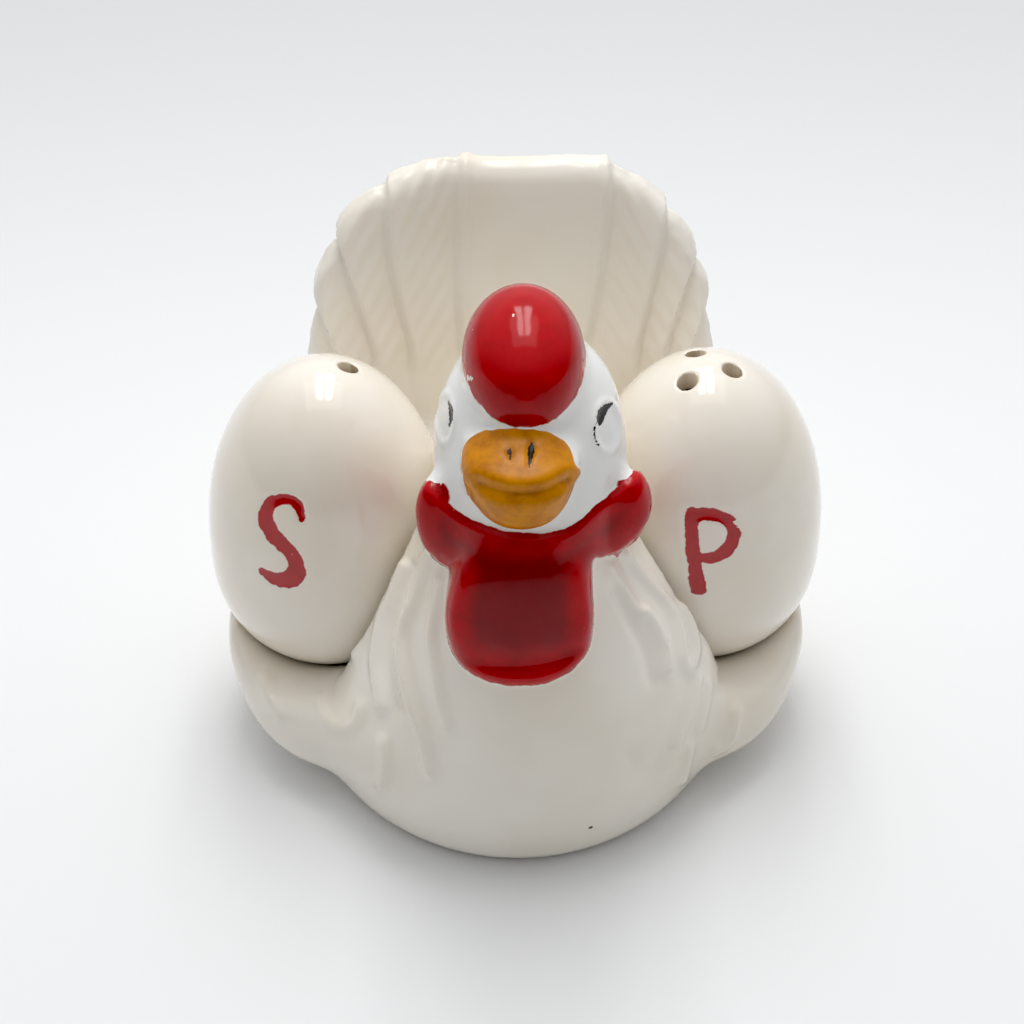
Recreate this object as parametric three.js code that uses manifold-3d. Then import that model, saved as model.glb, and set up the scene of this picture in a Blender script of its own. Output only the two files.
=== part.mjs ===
// Hen salt and pepper set: a hollow pottery hen that carries two egg-shaped shakers in cups
// beside her body. Millimetres, +Z up. The hen faces -Y. The origin is on the table, under the
// middle of the whole set.
import * as THREE from "three";
import { mergeVertices } from "three/addons/utils/BufferGeometryUtils.js";
import Module from "manifold-3d";

const wasm = await Module();
wasm.setup();

// ---------- driving dimensions ----------

// Egg shakers
const EGG_DIAMETER = 48;
const EGG_HEIGHT = 66;
const EGG_WIDEST_HEIGHT = 26; // widest ring above the egg's foot
const EGG_FOOT_RADIUS = 11;
const EGG_WALL = 3;
const EGG_RECESS_DEPTH = 2; // hollow inside the foot ring
const EGG_RECESS_RADIUS = 9;
const EGG_TOP_FULLNESS = 2.15; // 2 is a plain ellipse, more is fuller
const EGG_BASE_FULLNESS = 2.6;
const FILLER_RADIUS = 6.5;
const POUR_HOLE_RADIUS = 2;
const PEPPER_HOLE_CIRCLE_RADIUS = 5;
const PEPPER_HOLE_TURN = 14; // degrees, seen from above
const SALT_HOLE = [4, 2.5]; // aside and behind the pole

// Corks
const CORK_CLEARANCE = 0.3; // between cork and filler hole
const CORK_LENGTH = 8.5;
const CORK_TAPER = 0.7;
const CORK_HEAD_LENGTH = 1.2; // wider end left outside the filler hole
const CORK_HEAD_OVERHANG = 0.7;

// How the eggs sit in the hen
const GAP_BETWEEN_EGGS = 27;
const SEAT_HEIGHT = 17; // egg foot above the table
const SEAT_GAP = 0.3; // left under the egg's foot
const CUP_CLEARANCE = 0.8; // between egg and cup wall
const LIFT_HEIGHT = 150; // the way kept clear above the cups

// Hen casting
const HEN_WALL = 3.6;
const BODY_CENTRE = -6; // centre of the base, from the line of the egg axes
const BASE_HALF_WIDTH = 42;
const BASE_HALF_LENGTH = 47;
const BASE_EDGE_RADIUS = 1.5;
const BODY_HALF_WIDTH = 46.5;
const BODY_HALF_LENGTH = 52;
const BULGE_HEIGHT = 23; // where the body is widest
const SHOULDER_HEIGHT = 50;
const HEAD_HEIGHT = 90; // middle of the head
const HEAD_HALF_WIDTH = 17.4;
const HEAD_HALF_LENGTH = 19;
const HEAD_FORWARD = 25; // centre of the head in front of the egg axes
const HEAD_TOP_RISE = 18.5; // above the middle of the head
// On the way from body to head: share of the rise, then how far the centre, the half width and
// the half length have gone from the body's to the head's
const BACK_STATIONS = [[0.55, 0.12, 0.22, 0.12], [1, 0.45, 0.56, 0.42]]; // bulge to shoulder
const NECK_STATIONS = [[0.27, 0.75, 0.82, 0.69], [0.55, 0.93, 0.95, 0.88]]; // shoulder to head
const BASE_TO_BULGE = [0.5, 0.75]; // share of the rise, and of the widening
const CROWN_STATIONS = [[0.6, 0.8], [1, 0.3]]; // share of the rise, and of the head's half sizes
const FOOT_RING_WIDTH = 6;
const FOOT_RECESS_DEPTH = 1.5;
const FLOOR_THICKNESS = 4;
const VENT_RADIUS = 7;

// Wing cups
const WING_RIM_RISE = 7; // above the egg's foot
const WING_RIM_BESIDE_EGG = 1.5; // width left of the rim at its narrowest
const WING_HALF_LENGTH = 34;
const WING_FORWARD = 6; // middle of the wing in front of the egg axes
const WING_DEPTH = 20;
const WING_LIP = 2.6;
const DISH_DEPTH = 6.5;

// Comb, beak and wattles
const COMB_HALF_WIDTH = 10.2;
const COMB_HALF_LENGTH = 17;
const COMB_HALF_HEIGHT = 14;
const COMB_RISE = 16; // its centre above the middle of the head
const BEAK_HALF_WIDTH = 10.6;
const BEAK_HALF_LENGTH = 9.5;
const BEAK_HALF_HEIGHT = 9.5;
const BEAK_RISE = 3.5; // its centre above the middle of the head
const WATTLE_HALF_WIDTH = 13.6;
const WATTLE_HALF_DEPTH = 7.5;
const WATTLE_HALF_HEIGHT = 17.5;
const WATTLE_DROP = 28; // its centre below the middle of the head
const WATTLE_FORWARD = 21; // its centre in front of the middle of the head
const LOBE_HALF_SIZE = [4.8, 4.6, 8.2];
const LOBE_INSET = 2; // its centre inside the side of the head
const LOBE_FORWARD = 10.5; // in front of the middle of the head
const LOBE_DROP = 13.5; // below the middle of the head

// Tail fan
const TAIL_HALF_WIDTH = 42;
const TAIL_TOP_HEIGHT = 99;
const TAIL_ROOT_HEIGHT = 30; // where the feathers spread from
const TAIL_ROOT_SHARE = 0.08; // of a feather's length, left out at the root
const TAIL_SPREAD = 72; // degrees to each side of upright
const TAIL_BEHIND_EGGS = 6; // front face behind the eggs, at the root
const TAIL_THICKNESS = 9;
const TAIL_LEAN = 0.17; // backwards for each unit up
const TAIL_CURL = 6; // how far the side edges come forward
const TAIL_SCALLOPS = 9;
const TAIL_SCALLOP_DEPTH = 1.6;
const TAIL_SQUARENESS = 3.6; // 2 is a round fan, more has fuller shoulders
const TAIL_ROOT_THICKENING = 0.25; // share of the thickness added at the root
const TAIL_SCALLOP_START = 0.6; // share of a feather's length where its round end begins
const TAIL_RIM_START = 0.85; // share of a feather's length where the rim begins to turn over
const TAIL_RIM_DROP = 0.0105; // share of the height that the rim's edges lie lower

// Mesh fineness
const ROUND_STEPS = 28;
const SMALL_ROUND_STEPS = 20;
const PROFILE_STEPS = 6;
const RINGS_PER_STATION = 1.3;
const MERGE_DISTANCE = 1e-4;
const BEYOND = 200; // larger than the whole set, for cutting blocks

// ---------- solids ----------

/** The closed solid inside a three.js geometry. */
function solid(geometry) {
  const bare = geometry.clone();
  bare.deleteAttribute("normal");
  bare.deleteAttribute("uv");
  const merged = mergeVertices(bare, MERGE_DISTANCE);
  const made = new wasm.Manifold(new wasm.Mesh({
    numProp: 3,
    vertProperties: new Float32Array(merged.attributes.position.array),
    triVerts: new Uint32Array(merged.index.array),
  }));
  if (made.volume() >= 0) return made;
  const flipped = new Uint32Array(merged.index.array).reverse();
  return new wasm.Manifold(new wasm.Mesh({
    numProp: 3,
    vertProperties: new Float32Array(merged.attributes.position.array),
    triVerts: flipped,
  }));
}

/** A three.js geometry of a solid. */
function geometryOf(made) {
  const mesh = made.getMesh();
  const geometry = new THREE.BufferGeometry();
  const points = new Float32Array(mesh.vertProperties);
  geometry.setAttribute("position", new THREE.BufferAttribute(points, 3));
  geometry.setIndex(new THREE.BufferAttribute(new Uint32Array(mesh.triVerts), 1));
  const flat = geometry.toNonIndexed();
  flat.computeVertexNormals();
  return flat;
}

/** Moves every vertex of a geometry by a function of its place. */
function shaped(geometry, move) {
  const place = geometry.attributes.position;
  const point = new THREE.Vector3();
  for (let i = 0; i < place.count; i += 1) {
    point.fromBufferAttribute(place, i);
    move(point);
    place.setXYZ(i, point.x, point.y, point.z);
  }
  return geometry;
}

/** A solid turned about the vertical line through (x, y), from a profile of [radius, height]. */
function turned(profile, x, y, steps = ROUND_STEPS) {
  const points = profile.map(([radius, height]) => new THREE.Vector2(radius, height));
  const geometry = new THREE.LatheGeometry(points, steps).rotateX(Math.PI / 2);
  return solid(geometry.translate(x, y, 0));
}

/** An ellipsoid with its half sizes and centre. */
function ellipsoid(half, centre, steps = SMALL_ROUND_STEPS) {
  const geometry = new THREE.SphereGeometry(1, steps, steps / 2);
  return solid(geometry.rotateX(Math.PI / 2).scale(...half).translate(...centre));
}

/** A block between two corners. */
function block(low, high) {
  const size = high.map((value, axis) => value - low[axis]);
  const middle = high.map((value, axis) => (value + low[axis]) / 2);
  return solid(new THREE.BoxGeometry(...size).translate(...middle));
}

/** The smooth curve through stations, read at a share of its length. */
function curveThrough(stations) {
  return new THREE.CatmullRomCurve3(
    stations.map((s) => new THREE.Vector3(s[0], s[1], s[2])), false, "centripetal");
}

// ---------- egg shakers ----------

const eggRadius = EGG_DIAMETER / 2;
const eggPlace = (EGG_DIAMETER + GAP_BETWEEN_EGGS) / 2; // each egg's axis, from the middle

/** The egg's outer radius at a height above its foot, grown all round by an offset. */
function eggRadiusAt(height, offset = 0) {
  const above = height > EGG_WIDEST_HEIGHT;
  const rise = above ? EGG_HEIGHT - EGG_WIDEST_HEIGHT + offset : EGG_WIDEST_HEIGHT;
  const share = Math.min(1, Math.abs(height - EGG_WIDEST_HEIGHT) / rise);
  const fullness = above ? EGG_TOP_FULLNESS : EGG_BASE_FULLNESS;
  const round = Math.sqrt(1 - share ** fullness);
  const footShare = above ? 0 : EGG_FOOT_RADIUS / eggRadius * share;
  return offset + eggRadius * Math.min(1, Math.hypot(round, footShare));
}

/** Heights from the foot to the pole, closer together near both ends. */
function eggHeights(from, to, steps) {
  const heights = [];
  for (let i = 0; i <= steps; i += 1) {
    heights.push(from + (to - from) * (1 - Math.cos((Math.PI * i) / steps)) / 2);
  }
  return heights;
}

function eggShell(x, holes) {
  const outside = eggHeights(0, EGG_HEIGHT, PROFILE_STEPS * 2)
    .map((height) => [eggRadiusAt(height), height]);
  outside[outside.length - 1][0] = 0;
  const floor = EGG_RECESS_DEPTH + EGG_WALL;
  const inside = eggHeights(floor, EGG_HEIGHT - EGG_WALL, PROFILE_STEPS * 2 - 4)
    .map((height) => [Math.max(0, eggRadiusAt(height, -EGG_WALL)), height]);
  inside[inside.length - 1][0] = 0;
  const base = [
    [FILLER_RADIUS, floor],
    [FILLER_RADIUS, EGG_RECESS_DEPTH],
    [EGG_RECESS_RADIUS, EGG_RECESS_DEPTH],
    [EGG_RECESS_RADIUS, 0],
  ];
  let shell = turned([...inside.reverse(), ...base, ...outside], 0, 0);
  for (const [across, along] of holes) {
    const drill = new THREE.CylinderGeometry(
      POUR_HOLE_RADIUS, POUR_HOLE_RADIUS, EGG_HEIGHT, SMALL_ROUND_STEPS / 2);
    drill.rotateX(Math.PI / 2).translate(across, along, EGG_HEIGHT);
    shell = shell.subtract(solid(drill));
  }
  return shell.translate([x, 0, SEAT_HEIGHT]);
}

function cork(x) {
  const radius = FILLER_RADIUS - CORK_CLEARANCE;
  const low = EGG_RECESS_DEPTH - CORK_CLEARANCE - CORK_HEAD_LENGTH;
  const neck = low + CORK_HEAD_LENGTH;
  const profile = [
    [0, low],
    [radius + CORK_HEAD_OVERHANG, low],
    [radius + CORK_HEAD_OVERHANG, neck],
    [radius, neck],
    [radius - CORK_TAPER, low + CORK_LENGTH],
    [0, low + CORK_LENGTH],
  ];
  return turned(profile, 0, 0, SMALL_ROUND_STEPS).translate([x, 0, SEAT_HEIGHT]);
}

// ---------- hen ----------

const wingRimHeight = SEAT_HEIGHT + WING_RIM_RISE;
const wingHalfWidth = eggRadiusAt(WING_RIM_RISE, CUP_CLEARANCE) + WING_RIM_BESIDE_EGG;
const tailRootBack = eggRadius + TAIL_BEHIND_EGGS;
const headTopHeight = HEAD_HEIGHT + HEAD_TOP_RISE;

/** A value part of the way from one to another. */
function between(from, to, share) {
  return from + (to - from) * share;
}

/** Body, neck and head as one flowing form: [height, centre, half width, half length]. */
function bodyStations() {
  const [baseShare, widening] = BASE_TO_BULGE;
  const stations = [
    [0, BODY_CENTRE, BASE_HALF_WIDTH - BASE_EDGE_RADIUS, BASE_HALF_LENGTH - BASE_EDGE_RADIUS],
    [BASE_EDGE_RADIUS, BODY_CENTRE, BASE_HALF_WIDTH, BASE_HALF_LENGTH],
    [BULGE_HEIGHT * baseShare, BODY_CENTRE, between(BASE_HALF_WIDTH, BODY_HALF_WIDTH, widening),
      between(BASE_HALF_LENGTH, BODY_HALF_LENGTH, widening)],
    [BULGE_HEIGHT, BODY_CENTRE, BODY_HALF_WIDTH, BODY_HALF_LENGTH],
  ];
  const climb = (low, high, shares) => {
    for (const [rise, centre, width, length] of shares) {
      stations.push([between(low, high, rise), between(BODY_CENTRE, -HEAD_FORWARD, centre),
        between(BODY_HALF_WIDTH, HEAD_HALF_WIDTH, width),
        between(BODY_HALF_LENGTH, HEAD_HALF_LENGTH, length)]);
    }
  };
  climb(BULGE_HEIGHT, SHOULDER_HEIGHT, BACK_STATIONS);
  climb(SHOULDER_HEIGHT, HEAD_HEIGHT, NECK_STATIONS);
  stations.push([HEAD_HEIGHT, -HEAD_FORWARD, HEAD_HALF_WIDTH, HEAD_HALF_LENGTH]);
  for (const [rise, share] of CROWN_STATIONS) {
    stations.push([between(HEAD_HEIGHT, headTopHeight, rise), -HEAD_FORWARD,
      HEAD_HALF_WIDTH * share, HEAD_HALF_LENGTH * share]);
  }
  return stations;
}

/** The body form, made smaller all round by an inset. */
function bodyForm(inset = 0) {
  const stations = bodyStations();
  const places = curveThrough(stations.map(([height, centre]) => [0, centre, height]));
  const sizes = curveThrough(stations.map(([, , width, length]) => [width, length, 0]));
  const last = stations.length - 1;
  const rings = Math.round(last * RINGS_PER_STATION);
  const form = new THREE.CylinderGeometry(1, 1, 1, ROUND_STEPS, rings).rotateX(Math.PI / 2);
  shaped(form, (point) => {
    const share = point.z + 0.5;
    const place = places.getPoint(share);
    const size = sizes.getPoint(share);
    const shrink = inset * (share < 0.5 ? 1 : -1);
    point.x *= Math.max(1, size.x - inset);
    point.y = place.y + point.y * Math.max(1, size.y - inset);
    point.z = place.z + (share === 0 || share === 1 ? shrink : 0);
  });
  return solid(form);
}

/** The bowl of one wing, its rim level at the top. */
function wingBowl(x, inset = 0) {
  const half = [wingHalfWidth - inset, WING_HALF_LENGTH - inset, WING_DEPTH - inset];
  const bowl = ellipsoid(half, [x, -WING_FORWARD, wingRimHeight], ROUND_STEPS);
  return bowl.intersect(block([-BEYOND, -BEYOND, 0], [BEYOND, BEYOND, wingRimHeight - inset]));
}

/** The hollow of a wing cup: the shallow dish, the egg's own seat and its way straight up. */
function cupHollow(x, grown = 0) {
  const dish = ellipsoid(
    [wingHalfWidth - WING_LIP + grown, WING_HALF_LENGTH - WING_LIP + grown, DISH_DEPTH + grown],
    [x, -WING_FORWARD, wingRimHeight + SEAT_GAP]);
  const offset = CUP_CLEARANCE + grown;
  const seat = [[0, -SEAT_GAP - grown], [EGG_FOOT_RADIUS + offset, -SEAT_GAP - grown]];
  for (const height of eggHeights(0, EGG_WIDEST_HEIGHT, PROFILE_STEPS)) {
    if (height > 0) seat.push([eggRadiusAt(height, offset), height]);
  }
  seat.push([eggRadius + offset, LIFT_HEIGHT], [0, LIFT_HEIGHT]);
  return dish.add(turned(seat, x, 0).translate([0, 0, SEAT_HEIGHT]));
}

/** The tail fan: a leaning, cupped plate with a scalloped edge. */
function tailFan() {
  const plate = new THREE.BoxGeometry(2, 1, 1, TAIL_SCALLOPS * 2, 2, 5);
  const rise = TAIL_TOP_HEIGHT - TAIL_ROOT_HEIGHT;
  shaped(plate, (point) => {
    const angle = THREE.MathUtils.degToRad(point.x * TAIL_SPREAD);
    const radius = TAIL_ROOT_SHARE + (1 - TAIL_ROOT_SHARE) * (point.z + 0.5);
    const reach = (Math.abs(Math.sin(angle)) ** TAIL_SQUARENESS
      + Math.abs(Math.cos(angle)) ** TAIL_SQUARENESS) ** (-1 / TAIL_SQUARENESS);
    const wave = Math.abs(Math.cos((point.x * TAIL_SCALLOPS * Math.PI) / 2));
    const scalloped = Math.max(0, radius - TAIL_SCALLOP_START) / (1 - TAIL_SCALLOP_START);
    const scallop = (1 - wave) * TAIL_SCALLOP_DEPTH * scalloped;
    const turned = Math.max(0, radius - TAIL_RIM_START) / (1 - TAIL_RIM_START);
    const drop = 1 - TAIL_RIM_DROP * turned * Math.abs(point.y * 2);
    const length = radius * reach;
    const across = Math.sin(angle) * (length * TAIL_HALF_WIDTH - scallop);
    const up = Math.cos(angle) * (length * rise - scallop) * drop;
    const lean = up * TAIL_LEAN - TAIL_CURL * (across / TAIL_HALF_WIDTH) ** 2;
    const thickness = TAIL_THICKNESS * (1 + TAIL_ROOT_THICKENING * (1 - radius));
    point.y = tailRootBack + lean + (point.y + 0.5) * thickness;
    point.x = across;
    point.z = TAIL_ROOT_HEIGHT + up;
  });
  return solid(plate);
}

function henHolder() {
  const cupPlaces = [-eggPlace, eggPlace];
  let hen = bodyForm();
  let hollow = bodyForm(HEN_WALL);
  for (const x of cupPlaces) {
    hen = hen.add(wingBowl(x));
    hollow = hollow.add(wingBowl(x, HEN_WALL));
  }
  hen = hen.add(tailFan());
  for (const x of cupPlaces) {
    hen = hen.subtract(cupHollow(x));
    hollow = hollow.subtract(cupHollow(x, HEN_WALL));
  }
  const head = [
    ellipsoid([COMB_HALF_WIDTH, COMB_HALF_LENGTH, COMB_HALF_HEIGHT],
      [0, -HEAD_FORWARD, HEAD_HEIGHT + COMB_RISE]),
    ellipsoid([BEAK_HALF_WIDTH, BEAK_HALF_LENGTH, BEAK_HALF_HEIGHT],
      [0, -HEAD_FORWARD - HEAD_HALF_LENGTH, HEAD_HEIGHT + BEAK_RISE]),
    ellipsoid([WATTLE_HALF_WIDTH, WATTLE_HALF_DEPTH, WATTLE_HALF_HEIGHT],
      [0, -HEAD_FORWARD - WATTLE_FORWARD, HEAD_HEIGHT - WATTLE_DROP]),
  ];
  for (const side of [-1, 1]) {
    const aside = side * (HEAD_HALF_WIDTH - LOBE_INSET);
    const place = [aside, -HEAD_FORWARD - LOBE_FORWARD, HEAD_HEIGHT - LOBE_DROP];
    head.push(ellipsoid(LOBE_HALF_SIZE, place));
  }
  for (const form of head) hen = hen.add(form);
  const floor = FOOT_RECESS_DEPTH + FLOOR_THICKNESS;
  hollow = hollow.subtract(block([-BEYOND, -BEYOND, -BEYOND], [BEYOND, BEYOND, floor]));
  const recessHalf = [BASE_HALF_WIDTH - FOOT_RING_WIDTH, BASE_HALF_LENGTH - FOOT_RING_WIDTH];
  const recess = new THREE.CylinderGeometry(1, 1, FOOT_RECESS_DEPTH * 2, ROUND_STEPS);
  recess.rotateX(Math.PI / 2).scale(...recessHalf, 1).translate(0, BODY_CENTRE, 0);
  const vent = new THREE.CylinderGeometry(VENT_RADIUS, VENT_RADIUS, floor * 4, SMALL_ROUND_STEPS);
  vent.rotateX(Math.PI / 2).translate(0, BODY_CENTRE, 0);
  return hen.subtract(hollow).subtract(solid(recess)).subtract(solid(vent));
}

// ---------- the assembly ----------

const white = new THREE.MeshStandardMaterial({ color: 0xf0e9df, roughness: 0.15 });
const cream = new THREE.MeshStandardMaterial({ color: 0xf3ebde, roughness: 0.12 });
const corkBrown = new THREE.MeshStandardMaterial({ color: 0xb98a5a, roughness: 0.9 });

const assembly = new THREE.Group();

function place(name, made, material) {
  const mesh = new THREE.Mesh(geometryOf(made), material.clone());
  mesh.name = name;
  assembly.add(mesh);
}

const saltHoles = [SALT_HOLE];
const pepperHoles = [90, 210, 330].map((degrees) => {
  const angle = THREE.MathUtils.degToRad(degrees + PEPPER_HOLE_TURN);
  return [PEPPER_HOLE_CIRCLE_RADIUS * Math.cos(angle), PEPPER_HOLE_CIRCLE_RADIUS * Math.sin(angle)];
});

place("hen_holder", henHolder(), white);
place("salt_egg_shell", eggShell(-eggPlace, saltHoles), cream);
place("salt_stopper", cork(-eggPlace), corkBrown);
place("pepper_egg_shell", eggShell(eggPlace, pepperHoles), cream);
place("pepper_stopper", cork(eggPlace), corkBrown);

// The table is at z = 0, and the origin is under the middle of the whole set.
const extent = new THREE.Box3().setFromObject(assembly);
const middle = extent.getCenter(new THREE.Vector3());
assembly.position.set(-middle.x, -middle.y, -extent.min.z);

export default assembly;
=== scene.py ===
"""Hen salt and pepper set: a glazed pottery hen carrying two egg shakers, with their corks.

Shapes are modelled in millimetres about the line of the egg axes, and scaled to metres at the end.
The hen faces -Y. Her two eggs stand in cups on her wings, and her tail fans up behind them.
"""
import math

import bmesh
import bpy
import numpy as np
from mathutils import Matrix, Vector


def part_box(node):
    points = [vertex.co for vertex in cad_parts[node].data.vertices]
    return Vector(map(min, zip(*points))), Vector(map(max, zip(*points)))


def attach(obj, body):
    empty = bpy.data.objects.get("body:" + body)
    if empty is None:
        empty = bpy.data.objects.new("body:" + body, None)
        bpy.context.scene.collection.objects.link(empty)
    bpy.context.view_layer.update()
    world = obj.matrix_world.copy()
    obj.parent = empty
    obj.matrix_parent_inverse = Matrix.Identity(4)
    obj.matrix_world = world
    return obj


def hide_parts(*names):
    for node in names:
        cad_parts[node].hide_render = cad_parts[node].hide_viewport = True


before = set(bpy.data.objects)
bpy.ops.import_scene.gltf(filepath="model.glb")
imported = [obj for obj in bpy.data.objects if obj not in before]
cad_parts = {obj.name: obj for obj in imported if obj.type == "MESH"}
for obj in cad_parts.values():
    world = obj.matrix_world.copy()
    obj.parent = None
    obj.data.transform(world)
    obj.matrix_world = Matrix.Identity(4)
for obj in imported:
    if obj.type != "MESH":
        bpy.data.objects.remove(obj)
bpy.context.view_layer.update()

# ---------- places taken from the frame, in millimetres ----------

TO_MM = 1000.0
egg_low, egg_high = (corner * TO_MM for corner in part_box("pepper_egg_shell"))
cork_low, cork_high = (corner * TO_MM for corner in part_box("pepper_stopper"))
EGG_AXIS_Y = (egg_low.y + egg_high.y) / 2
EGG_PLACE = (egg_low.x + egg_high.x) / 2
EGG_RADIUS = (egg_high.x - egg_low.x) / 2
EGG_FOOT = egg_low.z
EGG_HEIGHT = egg_high.z - egg_low.z

# ---------- egg shakers ----------

EGG_WIDEST = 26.0  # above the foot
EGG_FOOT_RADIUS = 11.0
EGG_WALL = 3.0
EGG_TOP_FULLNESS = 2.15
EGG_BASE_FULLNESS = 2.6
FILLER_RADIUS = 6.5
RECESS_RADIUS = 9.0
RECESS_DEPTH = 2.0
POUR_RADIUS = 2.0
POUR_LIP = 0.5
PEPPER_HOLES = [(-2.4, 5.7), (-4.6, -3.2), (4.2, -0.6)]
SALT_HOLE = (5.2, 3.0)
CUP_CLEARANCE = 0.8
EGG_STEPS = 224
LETTER_STROKE = 0.45  # added all round to the brush's half widths
LETTER_DEPTH = 0.2
LETTER_SQUASH = 1.04  # on the egg a letter is this much shorter than its points
SHELL_SKIN = 0.3  # points this near the outer form belong to the outside
S_TURN = math.radians(-20.5)
S_HEIGHT = 40.5
P_TURN = math.radians(-1.2)
P_HEIGHT = 38.0
# the brushed letters about their centres: aside, up, half width of the brush
LETTER_S = [
    (3.9, 6.4, 0.4), (3.0, 8.8, 0.6), (0.0, 9.6, 0.5), (-3.3, 8.0, 0.9), (-4.2, 4.8, 1.4),
    (-2.4, 1.8, 1.5), (1.0, -0.8, 1.2), (2.8, -3.8, 1.1), (2.2, -7.2, 1.6), (-0.6, -8.9, 1.4),
    (-4.0, -8.2, 0.7),
]
LETTER_P_STEM = [(-4.3, 8.6, 0.9), (-3.4, 0.0, 1.0), (-1.9, -9.2, 1.1)]
LETTER_P_BOWL = [
    (-4.0, 8.2, 1.0), (0.1, 8.5, 0.9), (3.6, 6.8, 0.9), (4.6, 4.0, 1.0), (3.3, 0.6, 1.1), (0.3, -1.2, 0.9),
    (-2.6, -0.9, 0.5),
]

# ---------- hen ----------

# height, centre, half width, half length of the body, neck and head
BODY_RINGS = [
    (0.0, -6.0, 40.5, 45.5),
    (1.5, -6.0, 42.0, 47.0),
    (11.5, -6.0, 45.3, 50.7),
    (23.0, -6.0, 46.5, 52.0),
    (37.8, -8.3, 40.1, 48.0),
    (50.0, -14.5, 30.2, 38.1),
    (60.8, -20.2, 22.6, 29.2),
    (72.0, -23.6, 18.9, 23.0),
    (90.0, -25.0, 17.4, 19.0),
    (101.0, -25.0, 13.9, 15.2),
    (106.5, -25.0, 8.0, 8.8),
    (108.5, -25.0, 2.0, 2.2),
]
RING_STEP = 1.5
WALL = 3.6
HOLLOW_WALL = WALL + 8.0  # thick enough for the hollow to stay inside the wings and breast
FLOOR = 4.0
FOOT_RING = 6.0
FOOT_RECESS = 1.5
VENT_RADIUS = 7.0

# height, centre, half width, half length of a wing
WING_RINGS = [
    (1.5, -5.0, 6.0, 18.0),
    (5.0, -5.5, 13.5, 25.0),
    (10.0, -6.0, 19.3, 29.0),
    (15.0, -5.5, 21.6, 30.0),
    (20.0, -4.5, 22.1, 28.0),
    (24.0, -3.0, 21.9, 25.0),
    (25.5, -2.5, 21.3, 23.8),
]
DISH_HALF = (12.5, 25.0, 5.0)
DISH_ASIDE = 8.5  # outward of the egg, clear of the breast
DISH_CENTRE = (-8.0, 26.0)
LIFT_TOP = 150.0

HEAD_Y = -25.0
HEAD_ASIDE = 2.0  # the head was pressed a little to one side
NECK = (56.0, 84.0)  # that lean builds up between these heights
COMB_HALF = (11.3, 15.6, 13.0)
COMB_CENTRE = (0.7, -27.0, 106.2)
COMB_BOX = 0.98  # below 1 is squarer than an ellipsoid
COMB_PAINT = (0.7, 63.4, 11.2, 14.1)  # as painted: middle aside and up, half sizes
COMB_MARGIN = 1.5  # the paint reaches this far off the comb
BREAST_PINCH = 0.17  # the breast is narrower beside the salt egg
SHELF_TOP = 21.4
SADDLE_HALF = (12.5, 7.5, 10.0)  # where each wing runs up into the breast
SADDLE_PLACES = [(-31.5, -22.0, 21.5), (35.5, -22.0, 21.5)]
UPPER_BEAK_HALF = (10.7, 11.4, 5.6)
UPPER_BEAK_CENTRE = (-0.2, -41.6, 95.6)
LOWER_BEAK_HALF = (9.0, 9.6, 7.0)
LOWER_BEAK_CENTRE = (-0.4, -42.8, 90.6)
WATTLE_HALF = (12.8, 6.6, 17.0)
WATTLE_CENTRE = (-0.5, -45.6, 62.5)
LOBE_HALF = (5.2, 5.0, 9.4)
LOBE_ASIDE = 16.4
LOBE_CENTRE = (2.1, -34.0, 76.6)  # midway between the two lobes

# Painted outlines as the painter holds the hen, looking down at her face: aside, and up
PAINT_TILT = math.radians(41.5)
COLLAR = [
    (-16.6, 40.7), (-18.4, 38.5), (-19.2, 35.0), (-18.6, 30.5), (-17.0, 27.0), (-14.8, 25.3),
    (-13.2, 23.8), (-13.7, 19.5), (-14.0, 14.7), (-13.1, 9.0), (-9.8, 4.7), (-5.2, 2.7),
    (-0.6, 2.2), (4.1, 2.6), (8.8, 4.6), (12.2, 8.6), (13.0, 14.4), (12.7, 20.0), (12.9, 25.3),
    (15.0, 26.0), (18.4, 27.3), (21.4, 30.0), (23.6, 33.4), (24.2, 37.0), (23.4, 40.3),
    (21.6, 42.4), (19.4, 40.3), (16.2, 37.6), (12.8, 35.0), (9.1, 32.0), (5.4, 30.9), (1.2, 30.7),
    (-2.2, 31.0), (-6.0, 32.1), (-10.0, 33.8), (-13.4, 36.6), (-15.1, 38.9),
]
BEAK = [
    (-8.1, 48.6), (-5.1, 49.2), (-0.1, 49.2), (4.0, 48.7), (7.1, 47.2), (8.7, 44.8), (9.3, 42.7),
    (10.3, 41.6), (9.3, 39.6), (7.9, 37.3), (6.8, 34.6), (4.8, 32.7), (2.0, 31.8), (-1.0, 31.8),
    (-4.0, 32.8), (-7.0, 34.8), (-9.6, 37.7), (-10.7, 41.6), (-10.8, 44.9), (-10.0, 47.2),
]
# painted strokes: aside, up, half the width
RIGHT_EYE = [(16.6, 53.9, 0.2), (15.3, 53.0, 0.6), (14.5, 52.0, 0.8), (14.2, 50.9, 0.7), (14.1, 49.8, 0.15)]
RIGHT_EYE_LINE = [
    (13.5, 50.4, 0.05), (13.1, 49.2, 0.15), (13.1, 47.6, 0.18), (13.8, 46.3, 0.2), (14.7, 46.6, 0.05),
]
LEFT_EYE = [(-13.0, 54.9, 0.1), (-12.6, 53.6, 0.3), (-12.5, 52.6, 0.38), (-12.6, 51.4, 0.3), (-12.9, 50.2, 0.1)]
LEFT_NOSTRIL = [(-2.5, 46.4, 0.12), (-2.35, 45.0, 0.36), (-2.3, 43.6, 0.12)]
RIGHT_NOSTRIL = [(1.7, 46.7, 0.2), (1.5, 45.4, 0.6), (1.3, 44.2, 0.42), (1.05, 42.3, 0.1)]
EYE_RINGS = [(15.6, 49.6, 2.6, 4.6), (-13.6, 51.8, 1.7, 4.6)]
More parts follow.
